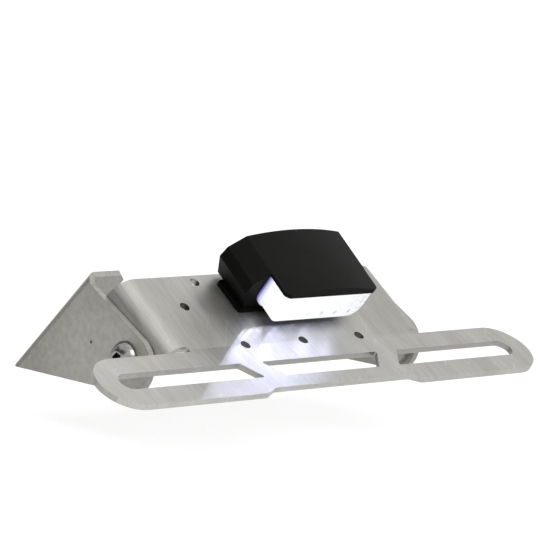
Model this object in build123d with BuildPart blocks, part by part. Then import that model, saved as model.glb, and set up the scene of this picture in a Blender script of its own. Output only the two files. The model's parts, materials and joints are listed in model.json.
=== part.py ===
from build123d import *
from math import atan2, cos, hypot, radians, sin, tan
import os

os.makedirs("parts", exist_ok=True)

# Tail tidy: two folded steel sheets that pivot on two screws, with a number-plate lamp.
# Frame: X across, -Y towards the number plate, Z up, millimetres. The cheeks stand on Z = 0.

# Sheet metal
sheet = 2.5
flange_outer_half = 71.8
bend_outer_radius = 9.6
plate_slope = 35.5
plate_length = 39.7
crease_angle = 8.3
relief_width = 3.0

# Number-plate bar, measured down from the crease
bar_length = 233.0
bar_depth = 28.8
bar_start = 1.5
rail_width = 9.6
web_outer_top = 43.2
web_inner_top = 32.0
web_slant = 6.6
slot_corner_radius = 0.8
recess_half = 37.0
recess_depth = 2.9
recess_run = 5.5
recess_radius = 3.0

# Small holes in the plate
small_hole = 4.3
row_pitch = 31.2
upper_hole_half = 33.2
upper_hole_height = 35.9
side_hole_half = 47.3
side_hole_height = 22.9

# Pivot
pivot_height = 13.1
pivot_up_slope = 13.9
pivot_below_plate = 17.4
pivot_hole = 8.6
flange_radius = 12.3
screw_diameter = 8.0
screw_length = 17.0
head_diameter = 14.0
head_height = 4.4
head_rim = 0.6
head_crown_half = 3.5
dome_facets = 2
head_socket = 5.0
head_socket_depth = 2.6
washer_diameter = 15.0
washer_bore = 8.6
washer_thickness = 1.6
nut_across_flats = 13.0
nut_height = 8.0
nut_chamfer = 0.8
nut_bore = 8.6

# Tail bracket
cheek_corner_radius = 11.7
cheek_front_angle = 28.7
cheek_front_distance = 12.0
base_slope = 44.1
base_distance = 39.6
base_upper_end = 2.9
base_lower_end = 57.6
base_bend_radius = 4.0
ear_inner_half = 54.6
ear_chamfer = 3.0
ear_tip_margin = 1.0
cutout_depth = 14.0
fixing_hole = 6.6
fixing_spacing = 80.0
fixing_first_row = 22.0
fixing_row_gap = 24.0

# Lamp, measured on the plate up from the crease and out from its face
lamp_offset = 8.0
lamp_front = 5.0
lamp_length = 32.5
lamp_tilt = 3.9
roof_front_height = 20.3
roof_half = 25.5
roof_crown = 2.7
shoulder_half = 32.0
shoulder_drop = 5.9
waist_half = 33.0
waist_drop = 10.8
skirt_half = 27.0
moulded_edge = 0.6
hood_length = 12.0
hood_thickness = 1.6
hood_corner_radius = 3.5
housing_wall = 2.0
pad_half = 30.8
pad_first = 17.4
pad_last = 34.5
pad_thickness = 2.0
pad_corner_radius = 1.2

# Lens, board and light-emitting diodes
lens_half = 24.9
lens_bottom = 3.5
lens_front = 6.9
lens_corner_radius = 6.0
lens_wall = 1.6
lens_seat = 3.0
lens_clearance = 0.2
rim_margin = 0.6
rim_thickness = 1.4
board_thickness = 1.6
led_count = 6
led_pitch = 7.6
led_size = 3.5
led_height = 1.9

# Lamp fixings and lead
stud_diameter = 5.0
stud_spacing = 34.0
stud_grip = 5.0
stud_tail = 6.5
stud_hole = 5.6
boss_diameter = 8.0
boss_height = 6.5
boss_gap = 1.4
lamp_washer_diameter = 10.0
lamp_washer_thickness = 1.0
lamp_nut_flats = 8.0
lamp_nut_height = 4.0
lamp_nut_bore = 5.6
lead_bore = 5.0
lead_passage = 7.0
grommet_diameter = 9.0
grommet_lip_diameter = 13.0
grommet_lip_thickness = 1.5
grommet_clearance = 0.3

# Directions of the plate, the bar and the base in the YZ plane
bar_slope = plate_slope - crease_angle
plate_up = Vector(0, cos(radians(plate_slope)), sin(radians(plate_slope)))
plate_out = Vector(0, -sin(radians(plate_slope)), cos(radians(plate_slope)))
bar_out = Vector(0, -sin(radians(bar_slope)), cos(radians(bar_slope)))
base_out = Vector(0, sin(radians(base_slope)), cos(radians(base_slope)))
base_down = Vector(0, cos(radians(base_slope)), -sin(radians(base_slope)))
across = Vector(1, 0, 0)

# The outline is centred on Y = 0
crease_from_pivot = plate_out * pivot_below_plate - plate_up * pivot_up_slope
front_reach = crease_from_pivot.Y - (bar_start + bar_depth) * cos(radians(bar_slope))
back_reach = base_out.Y * base_distance + base_down.Y * base_lower_end
pivot = Vector(0, -(front_reach + back_reach) / 2, pivot_height)
crease = pivot + crease_from_pivot
base_foot = pivot + base_out * base_distance

plate_plane = Plane(origin=crease, x_dir=across, z_dir=plate_out)
bar_plane = Plane(origin=crease, x_dir=across, z_dir=bar_out)
plate_side = Plane(origin=crease, x_dir=plate_up, z_dir=across)
base_plane = Plane(origin=base_foot, x_dir=across, z_dir=base_out)

# The lamp's axis climbs away from the plate towards the back; its section lies square to that axis
tilt = radians(lamp_tilt)
lamp_axis = plate_up * cos(tilt) + plate_out * sin(tilt)
lamp_middle = crease + across * lamp_offset
lamp_nose = lamp_middle + plate_up * lamp_front + plate_out * roof_front_height
lamp_section = Plane(origin=lamp_nose, x_dir=-across, z_dir=lamp_axis)
lamp_plan = Plane(origin=lamp_nose, x_dir=across, z_dir=across.cross(lamp_axis))
lamp_foot = Plane(origin=lamp_middle, x_dir=across, z_dir=plate_out)
lamp_seat = lamp_foot.offset(pad_thickness)
lamp_run = lamp_length / cos(tilt)
stud_height = lamp_front + hood_length + lens_seat + board_thickness + boss_gap + boss_diameter / 2

cheek_outer_half = flange_outer_half + sheet
bend_start_half = flange_outer_half - bend_outer_radius
side_reach = cheek_outer_half + bar_length


def channel(outer_half, corner_radius, depth):
    """Adds a channel section, its web along local X and its legs along local -Y."""
    with Locations((0, -depth)):
        RectangleRounded(2 * outer_half, 2 * depth, corner_radius)
    inner_width = 2 * (outer_half - sheet)
    inner_height = 2 * (depth + sheet)
    with Locations((0, -depth - 2 * sheet)):
        RectangleRounded(inner_width, inner_height, corner_radius - sheet, mode=Mode.SUBTRACT)


# Plate bracket: side bends and flanges first, then the fold, the bar and its slots
relief_half = relief_width / 2
flange_depth = pivot_below_plate + flange_radius + sheet
slot_top = -(bar_start + rail_width)
slot_bottom = -(bar_start + bar_depth - rail_width)
slot_middle = (slot_top + slot_bottom) / 2
bar_bottom = -(bar_start + bar_depth)
lobe_centre = (bar_length - bar_depth) / 2

with BuildPart() as plate_bracket:
    with BuildSketch(Plane(origin=crease + plate_up * relief_half, x_dir=-across, z_dir=plate_up)):
        channel(flange_outer_half, bend_outer_radius, flange_depth)
    extrude(amount=plate_length - relief_half)
    with BuildSketch(plate_side):
        with Locations((relief_half, -bend_outer_radius)):
            Rectangle(plate_length - relief_half, bend_outer_radius, align=(Align.MIN, Align.MIN))
        with Locations((pivot_up_slope, -pivot_below_plate)):
            Circle(flange_radius)
        make_hull()
    extrude(amount=side_reach, both=True, mode=Mode.INTERSECT)
    with BuildSketch(plate_plane):
        Rectangle(2 * bend_start_half, relief_half, align=(Align.CENTER, Align.MIN))
    extrude(amount=-sheet)
    fold = radians(crease_angle)
    with BuildSketch(plate_side):
        with BuildLine():
            Polyline(
                (0, 0),
                (0, -sheet),
                (-sheet * tan(fold / 2), -sheet),
                (-sheet * sin(fold), -sheet * cos(fold)),
                close=True,
            )
        make_face()
    extrude(amount=bend_start_half, both=True)
    with BuildSketch(bar_plane) as bar_outline:
        with Locations((0, bar_bottom + bar_depth / 2)):
            SlotOverall(bar_length, bar_depth)
        Rectangle(2 * bend_start_half, bar_start + rail_width, align=(Align.CENTER, Align.MAX))
        with BuildLine():
            Polyline(
                (-recess_half - recess_run, bar_bottom),
                (-recess_half, bar_bottom + recess_depth),
                (recess_half, bar_bottom + recess_depth),
                (recess_half + recess_run, bar_bottom),
                close=True,
            )
        make_face(mode=Mode.SUBTRACT)
        lower_corners = bar_outline.vertices().filter_by_position(Axis.Y, bar_bottom - 1, slot_bottom - 1)
        fillet(lower_corners.filter_by_position(Axis.X, 1 - lobe_centre, lobe_centre - 1), recess_radius)
    extrude(amount=-sheet)
    with BuildSketch(bar_plane) as slots:
        with BuildLine():
            Polyline(
                (-web_inner_top, slot_top),
                (web_inner_top, slot_top),
                (web_inner_top - web_slant, slot_bottom),
                (web_slant - web_inner_top, slot_bottom),
                close=True,
            )
        make_face()
        with BuildLine():
            Polyline(
                (web_outer_top, slot_top),
                (lobe_centre, slot_top),
                (lobe_centre, slot_bottom),
                (web_outer_top - web_slant, slot_bottom),
                close=True,
            )
        make_face()
        with Locations((lobe_centre, slot_middle)):
            Circle((slot_top - slot_bottom) / 2)
        mirror(about=Plane.YZ)
        web_corners = slots.vertices().filter_by_position(Axis.X, -web_outer_top - 1, web_outer_top + 1)
        fillet(web_corners, slot_corner_radius)
    extrude(amount=sheet * 2, both=True, mode=Mode.SUBTRACT)
    with BuildSketch(plate_plane):
        with Locations((-bend_start_half, 0), (bend_start_half, 0)):
            Circle(relief_half)
        with GridLocations(row_pitch, 1, 3, 1):
            Circle(small_hole / 2)
        with GridLocations(2 * upper_hole_half, 1, 2, 1):
            with Locations((0, upper_hole_height)):
                Circle(small_hole / 2)
        with GridLocations(2 * side_hole_half, 1, 2, 1):
            with Locations((0, side_hole_height)):
                Circle(small_hole / 2)
        with Locations((lamp_offset, stud_height)):
            Circle(grommet_diameter / 2 + grommet_clearance)
            with GridLocations(stud_spacing, 1, 2, 1):
                Circle(stud_hole / 2)
    extrude(amount=sheet * 2, both=True, mode=Mode.SUBTRACT)
    with BuildSketch(Plane.YZ):
        with Locations((pivot.Y, pivot.Z)):
            Circle(pivot_hole / 2)
    extrude(amount=side_reach, both=True, mode=Mode.SUBTRACT)
plate_bracket.part.label = "plate_bracket"
export_step(plate_bracket.part, "parts/plate_bracket.step")

# Tail bracket: a channel along the base, trimmed to the side outline of the cheeks
base_top = base_foot - base_down * base_upper_end
base_end = base_foot + base_down * base_lower_end
front_normal = Vector(0, -sin(radians(cheek_front_angle)), cos(radians(cheek_front_angle)))
front_along = Vector(0, cos(radians(cheek_front_angle)), sin(radians(cheek_front_angle)))
corner_lift = cheek_corner_radius - pivot_height
corner_space = cheek_front_distance - cheek_corner_radius - corner_lift * front_normal.Z
corner_centre = pivot + Vector(0, corner_space / front_normal.Y, corner_lift)
front_tangent = corner_centre + front_normal * cheek_corner_radius
corner_turn = radians(cheek_front_angle / 2)
corner_middle = corner_centre - Vector(0, cos(corner_turn), sin(corner_turn)) * cheek_corner_radius
tip_line = base_foot - base_out * (base_bend_radius + ear_tip_margin)
front_run = (tip_line - front_tangent).dot(base_out) / front_along.dot(base_out)
front_end = front_tangent + front_along * front_run
ear_root = base_top - base_out * sheet
heel = base_end - base_out * (base_end.Z / base_out.Z)
corner_reach = 2 * cheek_corner_radius
cheek_depth = base_distance + corner_reach
blank_top = base_top - base_down * corner_reach
blank_length = corner_reach + base_upper_end + base_lower_end + sheet

with BuildPart() as tail_bracket:
    with BuildSketch(Plane(origin=blank_top, x_dir=-across, z_dir=base_down)):
        channel(cheek_outer_half, base_bend_radius, cheek_depth)
    extrude(amount=blank_length)
    with BuildSketch(Plane.YZ):
        with BuildLine():
            Polyline(
                (front_tangent.Y, front_tangent.Z),
                (front_end.Y, front_end.Z),
                (ear_root.Y, ear_root.Z),
                (base_top.Y, base_top.Z),
                (base_end.Y, base_end.Z),
                (heel.Y, heel.Z),
                (corner_centre.Y, 0),
            )
            ThreePointArc(
                (corner_centre.Y, 0),
                (corner_middle.Y, corner_middle.Z),
                (front_tangent.Y, front_tangent.Z),
            )
        make_face()
    extrude(amount=side_reach, both=True, mode=Mode.INTERSECT)
    with BuildSketch(base_plane) as base_cuts:
        with BuildLine():
            Polyline(
                (-ear_inner_half - ear_chamfer, -base_upper_end),
                (-ear_inner_half, ear_chamfer - base_upper_end),
                (-ear_inner_half, cutout_depth - base_upper_end),
                (ear_inner_half, cutout_depth - base_upper_end),
                (ear_inner_half, ear_chamfer - base_upper_end),
                (ear_inner_half + ear_chamfer, -base_upper_end),
                close=True,
            )
        make_face()
        low = base_cuts.vertices().sort_by(Axis.Y)[-2:]
        fillet(low, ear_chamfer)
        with Locations((0, fixing_first_row + fixing_row_gap / 2)):
            with GridLocations(fixing_spacing, fixing_row_gap, 2, 2):
                Circle(fixing_hole / 2)
    extrude(amount=-sheet * 2, mode=Mode.SUBTRACT)
    with BuildSketch(Plane.YZ):
        with Locations((pivot.Y, pivot.Z)):
            Circle(pivot_hole / 2)
    extrude(amount=side_reach, both=True, mode=Mode.SUBTRACT)
tail_bracket.part.label = "tail_bracket"
export_step(tail_bracket.part, "parts/tail_bracket.step")

# Pivot screws, washers and lock nuts, one of each on both sides
flange_inner_half = flange_outer_half - sheet
head_half = head_diameter / 2
dome_width_term = head_half**2 - head_crown_half**2
dome_height_term = head_height**2 - head_rim**2
dome_centre = (dome_height_term - dome_width_term) / (2 * (head_height - head_rim))
dome_radius = hypot(head_half, head_rim - dome_centre)
dome_first = atan2(head_rim - dome_centre, head_half)
dome_last = atan2(head_height - dome_centre, head_crown_half)
dome_turn = (dome_last - dome_first) / dome_facets
dome_angles = [dome_first + dome_turn * step for step in range(dome_facets + 1)]
dome_points = [(dome_radius * cos(angle), dome_centre + dome_radius * sin(angle)) for angle in dome_angles]
washer_inner_half = flange_inner_half - washer_thickness

for side, name in ((-1, "left"), (1, "right")):
    outward = across * side
    head_plane = Plane(origin=pivot + outward * cheek_outer_half, x_dir=(0, 1, 0), z_dir=outward)
    head_section = Plane(origin=head_plane.origin, x_dir=(0, 1, 0), z_dir=Vector(0, 1, 0).cross(outward))
    with BuildPart() as pivot_screw:
        with BuildSketch(head_plane):
            Circle(screw_diameter / 2)
        extrude(amount=-screw_length)
        with BuildSketch(head_section):
            with BuildLine():
                Polyline((0, head_height), (0, 0), (head_half, 0), *dome_points, close=True)
            make_face()
        revolve(axis=Axis(head_plane.origin, outward))
        with BuildSketch(head_plane.offset(head_height)):
            RegularPolygon(head_socket / 2, 6, major_radius=False)
        extrude(amount=-head_socket_depth, mode=Mode.SUBTRACT)
    pivot_screw.part.label = "pivot_screw_" + name
    export_step(pivot_screw.part, "parts/pivot_screw_" + name + ".step")

    with BuildPart() as pivot_washer:
        with BuildSketch(Plane(origin=pivot + outward * flange_inner_half, x_dir=(0, 1, 0), z_dir=-outward)):
            Circle(washer_diameter / 2)
            Circle(washer_bore / 2, mode=Mode.SUBTRACT)
        extrude(amount=washer_thickness)
    pivot_washer.part.label = "pivot_washer_" + name
    export_step(pivot_washer.part, "parts/pivot_washer_" + name + ".step")

    with BuildPart() as pivot_nut:
        with BuildSketch(Plane(origin=pivot + outward * washer_inner_half, x_dir=(0, 1, 0), z_dir=-outward)):
            RegularPolygon(nut_across_flats / 2, 6, major_radius=False)
            Circle(nut_bore / 2, mode=Mode.SUBTRACT)
        extrude(amount=nut_height)
        nut_end = pivot_nut.faces().sort_by(Axis(pivot, outward))[0]
        chamfer(nut_end.outer_wire().edges(), nut_chamfer)
    pivot_nut.part.label = "pivot_nut_" + name
    export_step(pivot_nut.part, "parts/pivot_nut_" + name + ".step")

# Lamp pad, with holes for the studs and the lead
with BuildPart() as lamp_pad:
    with BuildSketch(lamp_foot):
        with Locations((0, (pad_first + pad_last) / 2)):
            RectangleRounded(2 * pad_half, pad_last - pad_first, pad_corner_radius)
        with Locations((0, stud_height)):
            Circle(lead_passage / 2, mode=Mode.SUBTRACT)
            with GridLocations(stud_spacing, 1, 2, 1):
                Circle(stud_hole / 2, mode=Mode.SUBTRACT)
    extrude(amount=pad_thickness)
lamp_pad.part.label = "lamp_pad"
export_step(lamp_pad.part, "parts/lamp_pad.step")

# Lamp housing: crowned roof that runs on as a hood, faceted sides, open to the lens in front
skirt_drop = roof_front_height + lamp_length * tan(tilt)
lens_drop = roof_front_height - lens_bottom + (lens_front - lamp_front) * tan(tilt)


def lens_outline(margin):
    """Adds the lens outline below the hood, grown by a margin, with rounded lower corners."""
    width = 2 * (lens_half + margin)
    height = lens_drop - hood_thickness + margin
    with Locations((0, -hood_thickness)):
        RectangleRounded(width, 2 * height, lens_corner_radius + margin)
        Rectangle(width, height, align=(Align.CENTER, Align.MIN), mode=Mode.SUBTRACT)


with BuildPart() as lamp_housing:
    with BuildSketch(lamp_section.offset(hood_length)) as body_section:
        with BuildLine():
            ThreePointArc((-roof_half, 0), (0, roof_crown), (roof_half, 0))
            Polyline(
                (roof_half, 0),
                (shoulder_half, -shoulder_drop),
                (waist_half, -waist_drop),
                (skirt_half, -skirt_drop),
                (-skirt_half, -skirt_drop),
                (-waist_half, -waist_drop),
                (-shoulder_half, -shoulder_drop),
                (-roof_half, 0),
            )
        make_face()
        fillet(body_section.vertices(), moulded_edge)
    extrude(amount=lamp_run - hood_length)
    with BuildSketch(lamp_section) as hood_section:
        with BuildLine():
            ThreePointArc((-roof_half, 0), (0, roof_crown), (roof_half, 0))
            Polyline(
                (roof_half, 0),
                (roof_half, -hood_thickness),
                (-roof_half, -hood_thickness),
                (-roof_half, 0),
            )
        make_face()
        fillet(hood_section.vertices(), moulded_edge)
    extrude(amount=hood_length)
    with BuildSketch(lamp_plan):
        for side in (-1, 1):
            with Locations((side * roof_half, 0)):
                Rectangle(2 * hood_corner_radius, 2 * hood_corner_radius)
            with Locations((side * (roof_half - hood_corner_radius), hood_corner_radius)):
                Circle(hood_corner_radius, mode=Mode.SUBTRACT)
    extrude(amount=roof_crown + hood_thickness, both=True, mode=Mode.SUBTRACT)
    with BuildSketch(lamp_section.offset(hood_length)):
        lens_outline(lens_clearance)
    extrude(amount=lamp_run - hood_length - housing_wall, mode=Mode.SUBTRACT)
    with BuildSketch(lamp_seat):
        with Locations((0, stud_height)):
            with GridLocations(stud_spacing, 1, 2, 1):
                Circle(boss_diameter / 2)
    extrude(amount=boss_height)
    with BuildSketch(lamp_seat):
        with Locations((0, lamp_front)):
            Rectangle(4 * waist_half, 4 * lamp_length)
    extrude(amount=-skirt_drop, mode=Mode.SUBTRACT)
    with BuildSketch(lamp_seat):
        with Locations((0, stud_height)):
            Circle(lead_passage / 2)
            with GridLocations(stud_spacing, 1, 2, 1):
                Circle(stud_hole / 2)
    extrude(amount=stud_grip, mode=Mode.SUBTRACT)
lamp_housing.part.label = "lamp_housing"
export_step(lamp_housing.part, "parts/lamp_housing.step")

# Lens: a clear shell, open at the back, with a rim against the front of the housing
lens_begin = (lens_front - lamp_front) / cos(tilt)
lens_end = hood_length + lens_seat

with BuildPart() as lamp_lens:
    with BuildSketch(lamp_section.offset(lens_begin)):
        lens_outline(0)
    extrude(amount=lens_end - lens_begin)
    with BuildSketch(lamp_section.offset(hood_length)):
        lens_outline(rim_margin)
    extrude(amount=-rim_thickness)
    with BuildSketch(lamp_section.offset(lens_begin + lens_wall)):
        lens_outline(-lens_wall)
        with Locations((0, -hood_thickness)):
            Rectangle(2 * lens_half, 2 * lens_wall, mode=Mode.SUBTRACT)
    extrude(amount=lens_end - lens_begin, mode=Mode.SUBTRACT)
lamp_lens.part.label = "lamp_lens"
export_step(lamp_lens.part, "parts/lamp_lens.step")

# Board against the back of the lens, with a row of diodes facing forwards
board_plane = lamp_section.offset(lens_end)

with BuildPart() as lamp_board:
    with BuildSketch(board_plane):
        lens_outline(0)
    extrude(amount=board_thickness)
lamp_board.part.label = "lamp_board"
export_step(lamp_board.part, "parts/lamp_board.step")

with BuildPart() as lamp_leds:
    with BuildSketch(board_plane):
        with Locations((0, -(hood_thickness + lens_drop) / 2)):
            with GridLocations(led_pitch, 1, led_count, 1):
                Rectangle(led_size, led_size)
    extrude(amount=-led_height)
lamp_leds.part.label = "lamp_leds"
export_step(lamp_leds.part, "parts/lamp_leds.step")

# Studs, washers and nuts that hold the lamp on the plate
under_plate = lamp_foot.offset(-sheet)
under_washer = under_plate.offset(-lamp_washer_thickness)

for side, name in ((-1, "left"), (1, "right")):
    stud_place = (side * stud_spacing / 2, stud_height)
    with BuildPart() as lamp_stud:
        with BuildSketch(under_plate.offset(-stud_tail)):
            with Locations(stud_place):
                Circle(stud_diameter / 2)
        extrude(amount=stud_tail + sheet + pad_thickness + stud_grip)
    lamp_stud.part.label = "lamp_stud_" + name
    export_step(lamp_stud.part, "parts/lamp_stud_" + name + ".step")

    with BuildPart() as lamp_washer:
        with BuildSketch(under_plate):
            with Locations(stud_place):
                Circle(lamp_washer_diameter / 2)
                Circle(stud_hole / 2, mode=Mode.SUBTRACT)
        extrude(amount=-lamp_washer_thickness)
    lamp_washer.part.label = "lamp_washer_" + name
    export_step(lamp_washer.part, "parts/lamp_washer_" + name + ".step")

    with BuildPart() as lamp_nut:
        with BuildSketch(under_washer):
            with Locations(stud_place):
                RegularPolygon(lamp_nut_flats / 2, 6, major_radius=False)
                Circle(lamp_nut_bore / 2, mode=Mode.SUBTRACT)
        extrude(amount=-lamp_nut_height)
    lamp_nut.part.label = "lamp_nut_" + name
    export_step(lamp_nut.part, "parts/lamp_nut_" + name + ".step")

# Grommet for the lead: a sleeve through the plate with a lip under it
with BuildPart() as lead_grommet:
    with BuildSketch(lamp_foot):
        with Locations((0, stud_height)):
            Circle(grommet_diameter / 2)
    extrude(amount=-sheet)
    with BuildSketch(under_plate):
        with Locations((0, stud_height)):
            Circle(grommet_lip_diameter / 2)
    extrude(amount=-grommet_lip_thickness)
    with BuildSketch(lamp_foot):
        with Locations((0, stud_height)):
            Circle(lead_bore / 2)
    extrude(amount=-2 * sheet - grommet_lip_thickness, mode=Mode.SUBTRACT)
lead_grommet.part.label = "lead_grommet"
export_step(lead_grommet.part, "parts/lead_grommet.step")
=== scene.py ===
import json
import math

import bmesh
import bpy
from mathutils import Matrix, Vector


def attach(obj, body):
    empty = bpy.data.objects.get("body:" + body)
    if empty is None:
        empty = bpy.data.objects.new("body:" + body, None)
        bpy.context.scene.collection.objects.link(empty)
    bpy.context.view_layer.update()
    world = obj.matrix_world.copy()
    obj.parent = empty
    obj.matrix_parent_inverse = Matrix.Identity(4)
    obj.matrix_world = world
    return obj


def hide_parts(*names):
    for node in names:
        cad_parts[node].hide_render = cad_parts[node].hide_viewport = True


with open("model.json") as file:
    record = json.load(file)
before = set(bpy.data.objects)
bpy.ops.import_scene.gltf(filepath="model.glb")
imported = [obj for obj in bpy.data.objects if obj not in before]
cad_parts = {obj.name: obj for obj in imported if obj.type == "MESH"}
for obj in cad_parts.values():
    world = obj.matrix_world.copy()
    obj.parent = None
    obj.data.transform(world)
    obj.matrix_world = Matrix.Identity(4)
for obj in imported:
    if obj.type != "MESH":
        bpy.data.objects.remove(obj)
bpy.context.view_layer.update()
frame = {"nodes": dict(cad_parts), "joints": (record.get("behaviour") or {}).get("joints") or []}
nodes = frame["nodes"]
scene = bpy.context.scene

# Sizes of the solids that the looks follow, in metres
SHEET = 0.0025
PIVOT_BELOW_PLATE = 0.0174
PIVOT_UP_SLOPE = 0.0139
CHEEK_OUTER = 0.0743
FLANGE_INNER = 0.0693
PIVOT_WASHER = 0.0016
LAMP_OFFSET = 0.008
LAMP_FRONT = 0.005
ROOF_HEIGHT = 0.0203
BOARD_DEPTH = 0.015
PAD = 0.002
LAMP_WASHER = 0.001
STUD_UP = 0.027
STUD_HALF = 0.017
STUD_RADIUS = 0.0025
STUD_PITCH = 0.0008
STUD_TAIL = 0.0065
STUD_GRIP = 0.005
DIODE_COUNT = 6
DIODE_PITCH = 0.0076
DIODE_SIZE = 0.0035
DIODE_DROP = 0.00931

# Directions and lines of the object, as in the solids
PLATE_SLOPE = math.radians(35.5)
BAR_SLOPE = math.radians(27.2)
BASE_SLOPE = math.radians(44.1)
LAMP_TILT = math.radians(3.9)
UP = Vector((0, math.cos(PLATE_SLOPE), math.sin(PLATE_SLOPE)))
OUT = Vector((0, -math.sin(PLATE_SLOPE), math.cos(PLATE_SLOPE)))
BAR_UP = Vector((0, math.cos(BAR_SLOPE), math.sin(BAR_SLOPE)))
BAR_OUT = Vector((0, -math.sin(BAR_SLOPE), math.cos(BAR_SLOPE)))
BASE_OUT = Vector((0, math.sin(BASE_SLOPE), math.cos(BASE_SLOPE)))
ACROSS = Vector((1, 0, 0))
PIVOT = Vector(frame["joints"][0]["pos_m"])
CREASE = PIVOT + OUT * PIVOT_BELOW_PLATE - UP * PIVOT_UP_SLOPE
PIT = PIVOT + Vector((-CHEEK_OUTER, 0.0206, 0.0036))
LAMP_MIDDLE = CREASE + ACROSS * LAMP_OFFSET
LAMP_NOSE = LAMP_MIDDLE + UP * LAMP_FRONT + OUT * ROOF_HEIGHT
LAMP_AXIS = UP * math.cos(LAMP_TILT) + OUT * math.sin(LAMP_TILT)
LAMP_OUT = OUT * math.cos(LAMP_TILT) - UP * math.sin(LAMP_TILT)


def on_plate(across, up, out):
    """A point by its distance across, up the slope from the crease and off the plate's face."""
    return CREASE + ACROSS * across + UP * up + OUT * out


# Shader helpers

MILLIMETRES = 1000
SCRATCH_TURN = math.radians(38)
# Shades below this value run on to a deeper colour
DEEP_SHADE = 0.10


def new_material(name):
    """A node material with its tree and shader."""
    material = bpy.data.materials.new(name)
    material.use_nodes = True
    return material, material.node_tree, material.node_tree.nodes["Principled BSDF"]


def add_node(tree, kind, **values):
    """A shader node with its properties and socket values set."""
    node = tree.nodes.new(kind)
    for key, value in values.items():
        if key in node.inputs:
            node.inputs[key].default_value = value
        else:
            setattr(node, key, value)
    return node


def turned_place(tree, turn):
    """The place on the object, turned about X so that its Y runs along the grain."""
    place = add_node(tree, "ShaderNodeTexCoord")
    mapping = add_node(tree, "ShaderNodeMapping", Rotation=(turn, 0, 0))
    tree.links.new(place.outputs["Object"], mapping.inputs["Vector"])
    return mapping.outputs["Vector"]


def aslant(tree, place):
    """A place turned in the plane of the sheet, for scratches across the grain."""
    mapping = add_node(tree, "ShaderNodeMapping", Rotation=(0, 0, SCRATCH_TURN))
    tree.links.new(place, mapping.inputs["Vector"])
    return mapping.outputs["Vector"]


def noise(tree, place, scale, detail=5.0):
    """Noise with its own scale along each axis."""
    stretch = add_node(tree, "ShaderNodeMapping", Scale=scale)
    texture = add_node(tree, "ShaderNodeTexNoise", Scale=1.0, Detail=detail, Roughness=0.62)
    tree.links.new(place, stretch.inputs["Vector"])
    tree.links.new(stretch.outputs["Vector"], texture.inputs["Vector"])
    return texture.outputs["Fac"]


def ranged(tree, value, low, high, start=0.3, end=0.7):
    """Maps a value from the range start to end onto the range low to high."""
    node = add_node(tree, "ShaderNodeMapRange")
    node.inputs["From Min"].default_value = start
    node.inputs["From Max"].default_value = end
    node.inputs["To Min"].default_value = low
    node.inputs["To Max"].default_value = high
    tree.links.new(value, node.inputs["Value"])
    return node.outputs["Result"]


def sums(tree, operation, first, second):
    """Two values, or a value and a number, joined by an operation."""
    node = add_node(tree, "ShaderNodeMath", operation=operation)
    tree.links.new(first, node.inputs[0])
    if isinstance(second, (int, float)):
        node.inputs[1].default_value = second
    else:
        tree.links.new(second, node.inputs[1])
    return node.outputs[0]


def tinted(tree, value, dark, light, deep=None):
    """A colour between two shades, led by a value from 0 to 1; the least values may go deeper still."""
    ramp = add_node(tree, "ShaderNodeValToRGB")
    ramp.color_ramp.elements[0].color = (*dark, 1)
    ramp.color_ramp.elements[1].color = (*light, 1)
    if deep is not None:
        ramp.color_ramp.elements.new(DEEP_SHADE).color = (*dark, 1)
        ramp.color_ramp.elements[0].color = (*deep, 1)
    tree.links.new(value, ramp.inputs["Fac"])
    return ramp.outputs["Color"]


def bumped(tree, shader, value, strength, depth):
    """Raises the surface by a value."""
    bump = add_node(tree, "ShaderNodeBump", Strength=strength, Distance=depth)
    tree.links.new(value, bump.inputs["Height"])
    tree.links.new(bump.outputs["Normal"], shader.inputs["Normal"])


def facing(tree, direction):
    """How squarely a face looks along a direction, either way: 0 to 1."""
    normal = add_node(tree, "ShaderNodeNewGeometry")
    dot = add_node(tree, "ShaderNodeVectorMath", operation="DOT_PRODUCT")
    tree.links.new(normal.outputs["True Normal"], dot.inputs[0])
    dot.inputs[1].default_value = direction
    return sums(tree, "ABSOLUTE", dot.outputs["Value"], 0.0)


def coordinate(tree, direction, origin):
    """Distance along a direction from a point, in millimetres."""
    place = add_node(tree, "ShaderNodeTexCoord")
    dot = add_node(tree, "ShaderNodeVectorMath", operation="DOT_PRODUCT")
    tree.links.new(place.outputs["Object"], dot.inputs[0])
    dot.inputs[1].default_value = direction * MILLIMETRES
    return sums(tree, "SUBTRACT", dot.outputs["Value"], origin.dot(direction) * MILLIMETRES)


def band(tree, value, start, end, fade):
    """1 between two values, fading to 0 outside them."""
    rise = ranged(tree, value, 0.0, 1.0, start - fade, start)
    fall = ranged(tree, value, 1.0, 0.0, end, end + fade)
    return sums(tree, "MULTIPLY", rise, fall)


# Zones of the plate bracket, in millimetres from the crease along the bar's slope and across
SLOT_ZONE = (-24.0, -6.0)
HOLE_ZONE_ALONG = (-3.0, 36.0)
HOLE_ZONE_ACROSS = (-58.0, 58.0)
ZONE_FADE = 1.0
CREASE_FADE = (-3.0, 0.0)
LEFT_END_FADE = (-75.0, -40.0)
RIGHT_END_FADE = (30.0, 55.0)
# What they add to the shade of the steel: painted shade on the slot walls, painted light at the bar's left
# end, a darker plate towards its right end and a painted highlight on the tail's cut edges
SLOT_WALL_SHADE = -0.5
LEFT_END_LIGHT = 0.20
RIGHT_END_TONE = -0.18
CUT_EDGE_HIGHLIGHT = 0.30


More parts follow.
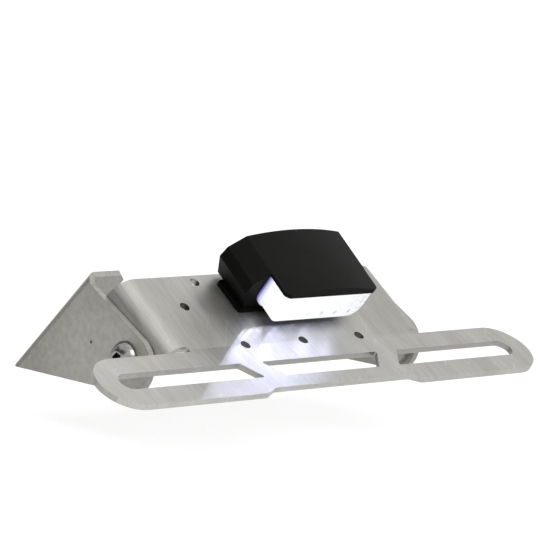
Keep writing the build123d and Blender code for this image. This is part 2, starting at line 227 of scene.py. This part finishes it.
def plate_accents(tree):
    """Painted shade on the slot walls, painted light at the bar's left end, a darker plate towards its
    right end, and painted shade where hole walls are dark.
    """
    along = coordinate(tree, BAR_UP, CREASE)
    across = coordinate(tree, ACROSS, CREASE)
    cut = ranged(tree, facing(tree, BAR_OUT), 1.0, 0.0, start=0.35, end=0.65)
    # Painted shade: the walls of the slots are darkened
    slot_wall_shade = sums(tree, "MULTIPLY", cut, band(tree, along, *SLOT_ZONE, ZONE_FADE))
    holes_along = band(tree, along, *HOLE_ZONE_ALONG, ZONE_FADE)
    holes_across = band(tree, across, *HOLE_ZONE_ACROSS, ZONE_FADE)
    # Painted shade: the walls of the holes are darkened down to the deep colour
    hole_wall_shade = sums(tree, "MULTIPLY", cut, sums(tree, "MULTIPLY", holes_along, holes_across))
    bar = ranged(tree, along, 1.0, 0.0, *CREASE_FADE)
    # Painted light: the bar is lighter towards its left end
    left_end_light = sums(tree, "MULTIPLY", bar, ranged(tree, across, LEFT_END_LIGHT, 0.0, *LEFT_END_FADE))
    plate = ranged(tree, along, 0.0, 1.0, *CREASE_FADE)
    right_end = sums(tree, "MULTIPLY", plate, ranged(tree, across, 0.0, RIGHT_END_TONE, *RIGHT_END_FADE))
    slot_wall_shade = sums(tree, "MULTIPLY", slot_wall_shade, SLOT_WALL_SHADE)
    tone = sums(tree, "ADD", slot_wall_shade, sums(tree, "ADD", left_end_light, right_end))
    return tone, hole_wall_shade


def tail_accents(tree):
    """A painted highlight on cut edges, painted shade that leaves the middle of the left cheek lighter
    than its edges, and where its small pit is dark.
    """
    # Painted highlight: the tail's cut edges are lighter
    sides = ranged(tree, facing(tree, ACROSS), 1.0, 0.0, start=0.35, end=0.65)
    faces = ranged(tree, facing(tree, BASE_OUT), 1.0, 0.0, start=0.75, end=0.90)
    edge_highlight = sums(tree, "MULTIPLY", sides, faces)
    place = add_node(tree, "ShaderNodeTexCoord")
    apart = add_node(tree, "ShaderNodeVectorMath", operation="DISTANCE")
    tree.links.new(place.outputs["Object"], apart.inputs[0])
    apart.inputs[1].default_value = PIT
    pit = ranged(tree, apart.outputs["Value"], 1.0, 0.0, start=0.0004, end=0.0009)
    # Painted shade: the left cheek is lighter round its middle and darker further out
    middle = ranged(tree, apart.outputs["Value"], 0.20, -0.12, start=0.008, end=0.035)
    return sums(tree, "ADD", sums(tree, "MULTIPLY", edge_highlight, CUT_EDGE_HIGHLIGHT), middle), pit


# Materials

CLOUD_SCALE = 0.06
LEAST_SHADE = 0.12
DEEP_SHARE = 0.28
CHEEK_GRAIN = 0.77


def brushed_steel(name, turn, fine, dark, light, rough=(0.40, 0.50), accents=None):
    """Stainless sheet: soft brushed lines, cloudy patches and a few scratches."""
    material, tree, shader = new_material(name)
    shader.inputs["Metallic"].default_value = 1.0
    place = turned_place(tree, turn)
    lines = noise(tree, place, fine)
    clouds = noise(tree, place, tuple(part * CLOUD_SCALE for part in fine), detail=3.0)
    scratches = noise(tree, aslant(tree, place), (900, 25, 900), detail=2.0)
    scratches = ranged(tree, scratches, 0.0, 0.35, start=0.66, end=0.74)
    shade = sums(tree, "ADD", ranged(tree, lines, 0.12, 0.60), ranged(tree, clouds, 0.0, 0.30))
    shade = sums(tree, "ADD", shade, scratches)
    # Accents paint light and shade onto the steel; their second value darkens towards the deep colour
    if accents is not None:
        tone, gloom = accents(tree)
        shade = sums(tree, "MAXIMUM", sums(tree, "ADD", shade, tone), LEAST_SHADE)
        shade = sums(tree, "SUBTRACT", shade, gloom)
    deep = tuple(part * DEEP_SHARE for part in dark)
    tree.links.new(tinted(tree, shade, dark, light, deep), shader.inputs["Base Color"])
    tree.links.new(ranged(tree, lines, *rough), shader.inputs["Roughness"])
    bumped(tree, shader, lines, strength=0.2, depth=0.0001)
    return material


def moulded(name, dark, light, rough, texture_scale, bump_depth, gloss):
    """Moulded plastic or rubber with a fine matt texture."""
    material, tree, shader = new_material(name)
    shader.inputs["Specular IOR Level"].default_value = gloss
    place = turned_place(tree, 0)
    pits = noise(tree, place, (texture_scale, texture_scale, texture_scale), detail=3.0)
    patches = noise(tree, place, (90, 90, 90), detail=2.0)
    tree.links.new(tinted(tree, ranged(tree, patches, 0.0, 1.0), dark, light), shader.inputs["Base Color"])
    tree.links.new(ranged(tree, pits, *rough), shader.inputs["Roughness"])
    bumped(tree, shader, pits, strength=0.35, depth=bump_depth)
    return material


def lit_lens(name):
    """Clear moulding lit from inside: white in front, violet at the rim, dark below, with grey marks."""
    material, tree, shader = new_material(name)
    shader.inputs["Roughness"].default_value = 0.15
    shader.inputs["Base Color"].default_value = (0.04, 0.04, 0.05, 1)
    shader.inputs["Alpha"].default_value = 0.9
    depth = coordinate(tree, LAMP_AXIS, LAMP_NOSE)
    height = coordinate(tree, OUT, CREASE)
    across = coordinate(tree, ACROSS, LAMP_MIDDLE)
    rim = ranged(tree, depth, 1.0, 0.0, start=9.8, end=11.6)
    colour = tinted(tree, rim, dark=(0.14, 0.13, 0.44), light=(0.96, 0.97, 1.0))
    tree.links.new(colour, shader.inputs["Emission Color"])
    # Grey marks at the diodes' feet, clearer to the right
    pitches = sums(tree, "ADD", sums(tree, "MULTIPLY", across, 1 / (MILLIMETRES * DIODE_PITCH)), 0.5)
    beside = sums(tree, "PINGPONG", pitches, 0.5)
    feet = ranged(tree, beside, 0.30, 0.0, start=0.06, end=0.14)
    feet = sums(tree, "MULTIPLY", feet, band(tree, height, start=6.0, end=7.0, fade=0.8))
    feet = sums(tree, "MULTIPLY", feet, ranged(tree, across, 0.0, 1.0, start=-10.0, end=2.0))
    # Small specks at the right end
    specks = noise(tree, turned_place(tree, 0), (800, 800, 800), detail=2.0)
    specks = ranged(tree, specks, 1.0, 0.0, start=0.38, end=0.52)
    specks = sums(tree, "MULTIPLY", specks, ranged(tree, across, 0.0, 0.30, start=14.0, end=25.0))
    glow = ranged(tree, across, 1.0, 0.94, start=-10.0, end=25.0)
    glow = sums(tree, "SUBTRACT", glow, sums(tree, "ADD", feet, specks))
    # Faces that look down at the plate stay dark
    upward = add_node(tree, "ShaderNodeVectorMath", operation="DOT_PRODUCT")
    tree.links.new(add_node(tree, "ShaderNodeNewGeometry").outputs["Normal"], upward.inputs[0])
    upward.inputs[1].default_value = OUT
    lit = ranged(tree, upward.outputs["Value"], 0.02, 1.0, start=-0.95, end=-0.80)
    tree.links.new(sums(tree, "MULTIPLY", glow, lit), shader.inputs["Emission Strength"])
    return material


def lit_diode(name, strength):
    """A light-emitting diode's dome."""
    material, _, shader = new_material(name)
    shader.inputs["Base Color"].default_value = (0.95, 0.95, 0.85, 1)
    shader.inputs["Roughness"].default_value = 0.2
    shader.inputs["Emission Color"].default_value = (0.90, 0.93, 1.0, 1)
    shader.inputs["Emission Strength"].default_value = strength
    return material


plate_steel = brushed_steel(
    "plate_steel", turn=-PLATE_SLOPE, fine=(1500, 70, 300),
    dark=(0.34, 0.335, 0.31), light=(0.55, 0.545, 0.52), accents=plate_accents,
)
cheek_steel = brushed_steel(
    "cheek_steel", turn=CHEEK_GRAIN, fine=(500, 350, 350),
    dark=(0.24, 0.23, 0.205), light=(0.44, 0.43, 0.40), accents=tail_accents,
)
bright_steel = brushed_steel(
    "bright_steel", turn=0, fine=(700, 700, 700),
    dark=(0.22, 0.217, 0.21), light=(0.40, 0.395, 0.385), rough=(0.20, 0.28),
)
lamp_black = moulded(
    "lamp_black", dark=(0.004, 0.004, 0.0035), light=(0.006, 0.006, 0.0055),
    rough=(0.42, 0.55), texture_scale=2600, bump_depth=0.00006, gloss=0.07,
)
rubber_black = moulded(
    "rubber_black", dark=(0.002, 0.002, 0.002), light=(0.003, 0.003, 0.003),
    rough=(0.60, 0.80), texture_scale=1500, bump_depth=0.0001, gloss=0.05,
)
board_white = moulded(
    "board_white", dark=(0.62, 0.64, 0.66), light=(0.72, 0.73, 0.74),
    rough=(0.35, 0.50), texture_scale=900, bump_depth=0.00002, gloss=0.4,
)
# Painted shade: the inside of the screws' hexagon sockets is coloured near black
socket_painted_shade = moulded(
    "socket_painted_shade", dark=(0.010, 0.010, 0.009), light=(0.02, 0.02, 0.018),
    rough=(0.5, 0.6), texture_scale=900, bump_depth=0.00002, gloss=0.2,
)
lens_lit = lit_lens("lens_lit")
diode_lit = lit_diode("diode_lit", strength=1.5)

# Pieces that aren't named here are of bright steel
MATERIAL_OF = {
    "plate_bracket": plate_steel,
    "tail_bracket": cheek_steel,
    "lamp_pad": rubber_black,
    "lead_grommet": rubber_black,
    "lamp_housing": lamp_black,
    "lamp_lens": lens_lit,
    "lamp_board": board_white,
    "lamp_leds": diode_lit,
}
for name, node in nodes.items():
    node.data.materials.clear()
    node.data.materials.append(MATERIAL_OF.get(name, bright_steel))

EDGE_WIDTHS = {"plate_bracket": 0.00022, "tail_bracket": 0.00022, "lamp_housing": 0.0003}
SHARP_EDGE = math.radians(50)


def soften_edges(node, width):
    """Breaks the sharp edges of a CAD piece a little, so that they catch the light."""
    bevel = node.modifiers.new("soft_edges", "BEVEL")
    bevel.width = width
    bevel.segments = 2
    bevel.limit_method = "ANGLE"
    bevel.angle_limit = SHARP_EDGE
    bevel.harden_normals = False


for name, width in EDGE_WIDTHS.items():
    soften_edges(nodes[name], width)

# Pieces with more detail than the solids

SEGMENTS = 72
SMOOTH_LIMIT = math.radians(32)
WELD = 1e-6


def add_piece(name, body, grid, materials, matrix=None, replaces=None):
    """Turns a mesh into a smooth piece that rides on a body."""
    mesh = bpy.data.meshes.new(name)
    grid.to_mesh(mesh)
    grid.free()
    for material in materials:
        mesh.materials.append(material)
    if matrix is not None:
        mesh.transform(matrix)
    piece = bpy.data.objects.new(name, mesh)
    scene.collection.objects.link(piece)
    for polygon in mesh.polygons:
        polygon.use_smooth = True
    mesh.set_sharp_from_angle(angle=SMOOTH_LIMIT)
    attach(piece, body)
    if replaces is not None:
        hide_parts(replaces)


def ring(grid, points):
    """One closed ring of vertices."""
    return [grid.verts.new(point) for point in points]


def join_rings(grid, first, second, material=0):
    """Faces between two rings with as many vertices."""
    count = len(first)
    for index in range(count):
        after = (index + 1) % count
        face = grid.faces.new((first[index], first[after], second[after], second[index]))
        face.material_index = material


def cap_ring(grid, rim, material=0):
    """A flat face over a ring."""
    face = grid.faces.new(rim)
    face.material_index = material


def circle(radius, height):
    """Points round the Z axis."""
    steps = [2 * math.pi * index / SEGMENTS for index in range(SEGMENTS)]
    return [(radius * math.cos(step), radius * math.sin(step), height) for step in steps]


def hexagon(across_flats, height, limit=1.0):
    """Points round the Z axis on a hexagon, held inside a circle."""
    points = []
    for index in range(SEGMENTS):
        step = 2 * math.pi * index / SEGMENTS
        turn = (step + math.pi / 6) % (math.pi / 3) - math.pi / 6
        radius = min(across_flats / 2 / math.cos(turn), limit)
        points.append((radius * math.cos(step), radius * math.sin(step), height))
    return points


def thread(radius, depth, pitch, height):
    """Points round the Z axis on a screw thread."""
    points = []
    for index in range(SEGMENTS):
        step = 2 * math.pi * index / SEGMENTS
        wave = abs((height / pitch - index / SEGMENTS) % 1.0 - 0.5) * 2
        cut = radius - depth * wave
        points.append((cut * math.cos(step), cut * math.sin(step), height))
    return points


def loft(grid, rings, materials=None):
    """Joins rings in order, each pair with its material, and gives back their vertices."""
    built = [ring(grid, points) for points in rings]
    for index in range(len(built) - 1):
        join_rings(grid, built[index], built[index + 1], materials[index] if materials else 0)
    return built


# Share of the pitch that a thread is deep, and rings to each of its turns
THREAD_DEPTH = 0.45
RINGS_PER_TURN = 6


def threaded_shank(grid, radius, start, end, pitch):
    """A threaded shank with its end closed; gives back its first ring."""
    depth = pitch * THREAD_DEPTH
    count = int((start - end) / pitch * RINGS_PER_TURN)
    heights = [start + (end - start) * index / count for index in range(count + 1)]
    rings = [thread(radius, depth, pitch, height) for height in heights]
    rings.append(circle(radius - depth, end))
    built = loft(grid, rings)
    cap_ring(grid, built[-1])
    return built[0]


# Button-head screw, with lengths in metres and heights from the seat of its head
HEAD_RADIUS = 0.0070
HEAD_EASING = 0.0002
HEAD_RIM = 0.0006
HEAD_CROWN = 0.0034
HEAD_HEIGHT = 0.0044
HEAD_STEPS = 10
HEAD_FROM = math.radians(23)
HEAD_TO = math.radians(63)
SOCKET_FLATS = 0.0050
SOCKET_LIP = 0.0005
SOCKET_CHAMFER = 0.0003
SOCKET_DEPTH = 0.0026
SOCKET_TURN = math.radians(12)
SCREW_NECK = 0.0042
SCREW_RADIUS = 0.0040
SCREW_TOP = -0.0001
SCREW_END = -0.0170
SCREW_PITCH = 0.00125


def button_screw(name, node, side):
    """Button-head screw with a hexagon socket; its head looks along local Z."""
    grid = bmesh.new()
    foot = HEAD_RADIUS - HEAD_EASING
    profile = [circle(foot, 0.0), circle(HEAD_RADIUS, HEAD_EASING), circle(HEAD_RADIUS, HEAD_RIM)]
    low = math.sin(HEAD_FROM)
    high = math.sin(HEAD_TO)
    for step in range(1, HEAD_STEPS + 1):
        angle = HEAD_FROM + step / HEAD_STEPS * (HEAD_TO - HEAD_FROM)
        radius = HEAD_RADIUS * math.cos(angle) / math.cos(HEAD_FROM)
        rise = (math.sin(angle) - low) / (high - low)
        profile.append(circle(radius, HEAD_RIM + (HEAD_HEIGHT - HEAD_RIM) * rise))
    profile.append(circle(HEAD_CROWN, HEAD_HEIGHT))
    profile.append(hexagon(SOCKET_FLATS + SOCKET_LIP, HEAD_HEIGHT))
    profile.append(hexagon(SOCKET_FLATS, HEAD_HEIGHT - SOCKET_CHAMFER))
    profile.append(hexagon(SOCKET_FLATS, HEAD_HEIGHT - SOCKET_DEPTH))
    # The socket's walls and floor take the painted shade
    marks = [0] * (len(profile) - 2) + [1]
    built = loft(grid, profile, marks)
    cap_ring(grid, built[-1], 1)
    under = loft(grid, [circle(foot, 0.0), circle(SCREW_NECK, 0.0)])
    top = threaded_shank(grid, SCREW_RADIUS, SCREW_TOP, SCREW_END, SCREW_PITCH)
    join_rings(grid, under[1], top)
    bmesh.ops.remove_doubles(grid, verts=grid.verts, dist=WELD)
    bmesh.ops.recalc_face_normals(grid, faces=grid.faces)
    place = PIVOT + ACROSS * side * CHEEK_OUTER
    turn = Vector((side, 0, 0)).to_track_quat("Z", "Y").to_matrix().to_4x4()
    matrix = Matrix.Translation(place) @ turn @ Matrix.Rotation(SOCKET_TURN, 4, "Z")
    add_piece(name, "tail", grid, [bright_steel, socket_painted_shade], matrix=matrix, replaces=node)


# Nuts: width across flats, height, bore and height of the locking collar, in metres
LOCK_NUT = (0.013, 0.008, 0.0078, 0.0018)
STUD_NUT = (0.008, 0.004, 0.0049, 0.0)
NUT_EASING = 0.93
NUT_CHAMFER = 0.6
BORE_CHAMFER = 0.0003
# The collar's radii as shares of the width across flats, and the share of its height that is rolled in
COLLAR_FOOT = 0.46
COLLAR_SHOULDER = 0.45
COLLAR_TOP = 0.40
COLLAR_ROLL = 0.35
COLLAR_STEP = 0.0001


def hex_nut(name, body, node, place, outward, flats, tall, bore, collar):
    """Hexagon nut with eased corners and, where it locks, a rolled collar; its seat is at local Z = 0."""
    grid = bmesh.new()
    corner = flats / math.sqrt(3)
    eased = corner * NUT_EASING
    chamfer = (corner - eased) * NUT_CHAMFER
    body_top = tall - collar
    rings = [circle(bore / 2, 0.0), hexagon(flats, 0.0, eased), hexagon(flats, chamfer)]
    rings.append(hexagon(flats, body_top - chamfer))
    rings.append(hexagon(flats, body_top, eased))
    if collar > 0:
        rings.append(circle(flats * COLLAR_FOOT, body_top + COLLAR_STEP))
        rings.append(circle(flats * COLLAR_SHOULDER, tall - collar * COLLAR_ROLL))
        rings.append(circle(flats * COLLAR_TOP, tall))
    rings.append(circle(bore / 2 + BORE_CHAMFER, tall))
    rings.append(circle(bore / 2, tall - BORE_CHAMFER))
    built = loft(grid, rings)
    join_rings(grid, built[-1], built[0])
    bmesh.ops.recalc_face_normals(grid, faces=grid.faces)
    turn = Vector(outward).to_track_quat("Z", "Y").to_matrix().to_4x4()
    matrix = Matrix.Translation(place) @ turn
    add_piece(name, body, grid, [bright_steel], matrix=matrix, replaces=node)


def stud(name, node, foot, length):
    """Threaded stud that stands up from its lower end."""
    grid = bmesh.new()
    top = threaded_shank(grid, STUD_RADIUS, length, 0.0, STUD_PITCH)
    cap_ring(grid, top)
    bmesh.ops.recalc_face_normals(grid, faces=grid.faces)
    turn = OUT.to_track_quat("Z", "Y").to_matrix().to_4x4()
    matrix = Matrix.Translation(foot) @ turn
    add_piece(name, "plate", grid, [bright_steel], matrix=matrix, replaces=node)


# Diode packages and their domes
PACKAGE_HEIGHT = 0.0009
DOME_HEIGHT = 0.0010
DOME_SHARE = 0.86
DOME_RINGS = 7
DOME_POINTS = 24


def diode_row(name, node):
    """Square packages with domes, in a row on the board."""
    grid = bmesh.new()
    half = DIODE_SIZE / 2
    base = [(-half, -half), (half, -half), (half, half), (-half, half)]
    around = [2 * math.pi * index / DOME_POINTS for index in range(DOME_POINTS)]
    middle = LAMP_NOSE + LAMP_AXIS * BOARD_DEPTH - LAMP_OUT * DIODE_DROP
    forward = (-LAMP_AXIS).to_track_quat("Z", "Y").to_matrix().to_4x4()
    for index in range(DIODE_COUNT):
        place = middle + ACROSS * DIODE_PITCH * (index - (DIODE_COUNT - 1) / 2)
        matrix = Matrix.Translation(place) @ forward
        lower = ring(grid, [matrix @ Vector((x, y, 0.0)) for x, y in base])
        upper = ring(grid, [matrix @ Vector((x, y, PACKAGE_HEIGHT)) for x, y in base])
        join_rings(grid, lower, upper, 1)
        cap_ring(grid, upper, 1)
        cap_ring(grid, lower, 1)
        dome = []
        for step in range(DOME_RINGS):
            angle = math.pi / 2 * step / (DOME_RINGS - 0.5)
            radius = half * DOME_SHARE * math.cos(angle)
            rise = PACKAGE_HEIGHT + DOME_HEIGHT * math.sin(angle)
            points = [Vector((radius * math.cos(turn), radius * math.sin(turn), rise)) for turn in around]
            dome.append(ring(grid, [matrix @ point for point in points]))
        for first, second in zip(dome, dome[1:]):
            join_rings(grid, first, second)
        cap_ring(grid, dome[-1])
    bmesh.ops.recalc_face_normals(grid, faces=grid.faces)
    add_piece(name, "plate", grid, [diode_lit, board_white], replaces=node)


for side, word in ((-1, "left"), (1, "right")):
    button_screw("screw_" + word, "pivot_screw_" + word, side)
    seat = PIVOT + ACROSS * side * (FLANGE_INNER - PIVOT_WASHER)
    hex_nut("lock_nut_" + word, "tail", "pivot_nut_" + word, seat, (-side, 0, 0), *LOCK_NUT)
    stud_across = LAMP_OFFSET + side * STUD_HALF
    seat = on_plate(stud_across, STUD_UP, -SHEET - LAMP_WASHER)
    hex_nut("stud_nut_" + word, "plate", "lamp_nut_" + word, seat, -OUT, *STUD_NUT)
    foot = on_plate(stud_across, STUD_UP, -SHEET - STUD_TAIL)
    stud("stud_" + word, "lamp_stud_" + word, foot, STUD_TAIL + SHEET + PAD + STUD_GRIP)
diode_row("diodes", "lamp_leds")

# Floor, light and background

SKY_LEVEL = 0.85
FLOOR_SIZE = 12.0
FLOOR_LIFT = 0.85
# The floor lies clear below the bar, which comes down when the plate is tilted
FLOOR_HEIGHT = -0.02


def area_light(name, place, aim, size, power):
    """A soft square light aimed at a point."""
    data = bpy.data.lights.new(name, "AREA")
    data.shape = "RECTANGLE"
    data.size = size
    data.size_y = size
    data.energy = power
    lamp = bpy.data.objects.new(name, data)
    lamp.location = place
    lamp.rotation_mode = "QUATERNION"
    lamp.rotation_quaternion = (Vector(aim) - Vector(place)).to_track_quat("-Z", "Y")
    scene.collection.objects.link(lamp)


def background_switch(tree):
    """1 for rays that see the background: from the camera, or off metal and through glass."""
    path = add_node(tree, "ShaderNodeLightPath")
    seen = sums(tree, "MAXIMUM", path.outputs["Is Camera Ray"], path.outputs["Is Glossy Ray"])
    return sums(tree, "MAXIMUM", seen, path.outputs["Is Transmission Ray"])


world = bpy.data.worlds.new("studio")
scene.world = world
world.use_nodes = True
sky = world.node_tree
soft = sky.nodes["Background"]
soft.inputs["Color"].default_value = (1, 1, 1, 1)
soft.inputs["Strength"].default_value = SKY_LEVEL
white = add_node(sky, "ShaderNodeBackground", Color=(1, 1, 1, 1), Strength=1.0)
either = add_node(sky, "ShaderNodeMixShader")
sky.links.new(background_switch(sky), either.inputs[0])
sky.links.new(soft.outputs[0], either.inputs[1])
sky.links.new(white.outputs[0], either.inputs[2])
sky.links.new(either.outputs[0], sky.nodes["World Output"].inputs["Surface"])


def stage_sheet(name, width, height, material):
    """A flat sheet of the studio that isn't part of the object."""
    mesh = bpy.data.meshes.new(name)
    right = width / 2
    top = height / 2
    corners = [(-right, -top, 0), (right, -top, 0), (right, top, 0), (-right, top, 0)]
    mesh.from_pydata(corners, [], [(0, 1, 2, 3)])
    mesh.materials.append(material)
    sheet = bpy.data.objects.new(name, mesh)
    scene.collection.objects.link(sheet)
    return sheet


floor_white, floor_tree, floor_shader = new_material("floor_white")
floor_shader.inputs["Base Color"].default_value = (0.26, 0.26, 0.26, 1)
floor_shader.inputs["Roughness"].default_value = 0.9
floor_shader.inputs["Specular IOR Level"].default_value = 0.0
floor_shader.inputs["Emission Color"].default_value = (1, 1, 1, 1)
lift = ranged(floor_tree, background_switch(floor_tree), 0.0, FLOOR_LIFT, start=0.0, end=1.0)
floor_tree.links.new(lift, floor_shader.inputs["Emission Strength"])
floor = stage_sheet("floor", FLOOR_SIZE, FLOOR_SIZE, floor_white)
floor.location.z = FLOOR_HEIGHT

# Grey cards that the steel mirrors, out of the camera's sight
card_grey, _, card_shader = new_material("card_grey")
card_shader.inputs["Base Color"].default_value = (0.30, 0.29, 0.275, 1)
card_shader.inputs["Roughness"].default_value = 0.9
for card_name, card_place, card_width, card_height in (
    ("card_behind", Vector((-0.45, 0.47, 0.25)), 0.8, 0.5),
    ("card_left", Vector((-0.52, 0.06, 0.38)), 0.4, 0.24),
):
    card = stage_sheet(card_name, card_width, card_height, card_grey)
    card.location = card_place
    card.rotation_mode = "QUATERNION"
    card.rotation_quaternion = (-card_place).to_track_quat("Z", "Y")
    card.visible_camera = False

# No light is sampled from these glowing surfaces: the beams below stand for the light of the lamp
for glowing in (lens_lit, diode_lit, floor_white):
    glowing.cycles.emission_sampling = "NONE"

area_light("key", place=(-0.25, -0.9, 1.0), aim=(0, 0, 0.02), size=0.7, power=6)
area_light("overhead", place=(0.0, 0.0, 1.1), aim=(0, 0, 0), size=0.5, power=0.4)

# Beams have one power, so that they are sampled alike, and differ in the strength of their falloff
BEAM_POWER = 0.012
BEAM_COLOUR = (0.66, 0.69, 1.0)
BEAM_BLEND = 0.04
BEAM_SOFTNESS = 0.0004


def beam(name, place, aim, half_angle, falloff, strength):
    """A cone of light that the lens throws over the plate, with its own falloff along the way."""
    data = bpy.data.lights.new(name, "SPOT")
    data.energy = BEAM_POWER
    data.color = BEAM_COLOUR
    data.spot_size = 2 * half_angle
    data.spot_blend = BEAM_BLEND
    data.shadow_soft_size = BEAM_SOFTNESS
    data.use_nodes = True
    thrown = add_node(data.node_tree, "ShaderNodeLightFalloff", Strength=strength)
    data.node_tree.links.new(thrown.outputs[falloff], data.node_tree.nodes["Emission"].inputs["Strength"])
    lamp = bpy.data.objects.new(name, data)
    lamp.location = place
    lamp.rotation_mode = "QUATERNION"
    lamp.rotation_quaternion = aim.to_track_quat("-Z", "Y")
    scene.collection.objects.link(lamp)
    lamp.parent = nodes["lamp_lens"]


def beam_row(name, up, high, dip, half_angle, falloff, first, pitch, strengths):
    """A row of beams along the lens, each with its strength."""
    aim = -UP * math.cos(dip) - OUT * math.sin(dip)
    for index, strength in enumerate(strengths):
        place = on_plate(first + pitch * index, up, high)
        beam(name + "_" + str(index), place, aim, half_angle, falloff, strength)


# Light out of the lens's front, which reaches down to the bar
beam_row(
    "front_beam", up=0.0064, high=0.0095, dip=math.radians(42.4), half_angle=math.radians(62.3),
    falloff="Constant", first=-0.015, pitch=0.012, strengths=(230, 260, 270, 240),
)
# Light from under the lens, which draws overlapping arcs on the plate and fades to the right
UNDER_LENS = {"up": 0.0121, "high": 0.0050, "dip": math.radians(8.4), "half_angle": math.radians(54.1)}
UNDER_STRENGTHS = [13 - 0.9 * index for index in range(11)]
beam_row(
    "under_beam", **UNDER_LENS, falloff="Linear", first=-0.019, pitch=0.0044, strengths=UNDER_STRENGTHS,
)
# Light from the lens's left end, whose straight edge crosses the bar aslant
beam_row("end_beam", **UNDER_LENS, falloff="Constant", first=-0.022, pitch=0.0, strengths=(620,))
nodes["lamp_lens"].visible_shadow = False

# Camera, as fitted to the photograph
CAMERA_PLACE = PIVOT + Vector((-0.8234, -0.86314, 0.1799))
CAMERA_AHEAD = Vector((0.6861, 0.7166, -0.1251)).normalized()
CAMERA_RIGHT = Vector((0.7261, -0.6852, 0.0572)).normalized()
FOCAL_PIXELS = 3000.0
FRAME_PIXELS = 550.0
SENSOR = 36.0
camera_data = bpy.data.cameras.new("camera")
camera_data.sensor_width = SENSOR
camera_data.lens = SENSOR * FOCAL_PIXELS / FRAME_PIXELS
camera = bpy.data.objects.new("camera", camera_data)
scene.collection.objects.link(camera)
camera_up = CAMERA_RIGHT.cross(CAMERA_AHEAD)
camera_turn = Matrix((CAMERA_RIGHT, camera_up, -CAMERA_AHEAD)).transposed()
camera.matrix_world = Matrix.Translation(CAMERA_PLACE) @ camera_turn.to_4x4()
scene.camera = camera

scene.view_settings.view_transform = "Standard"
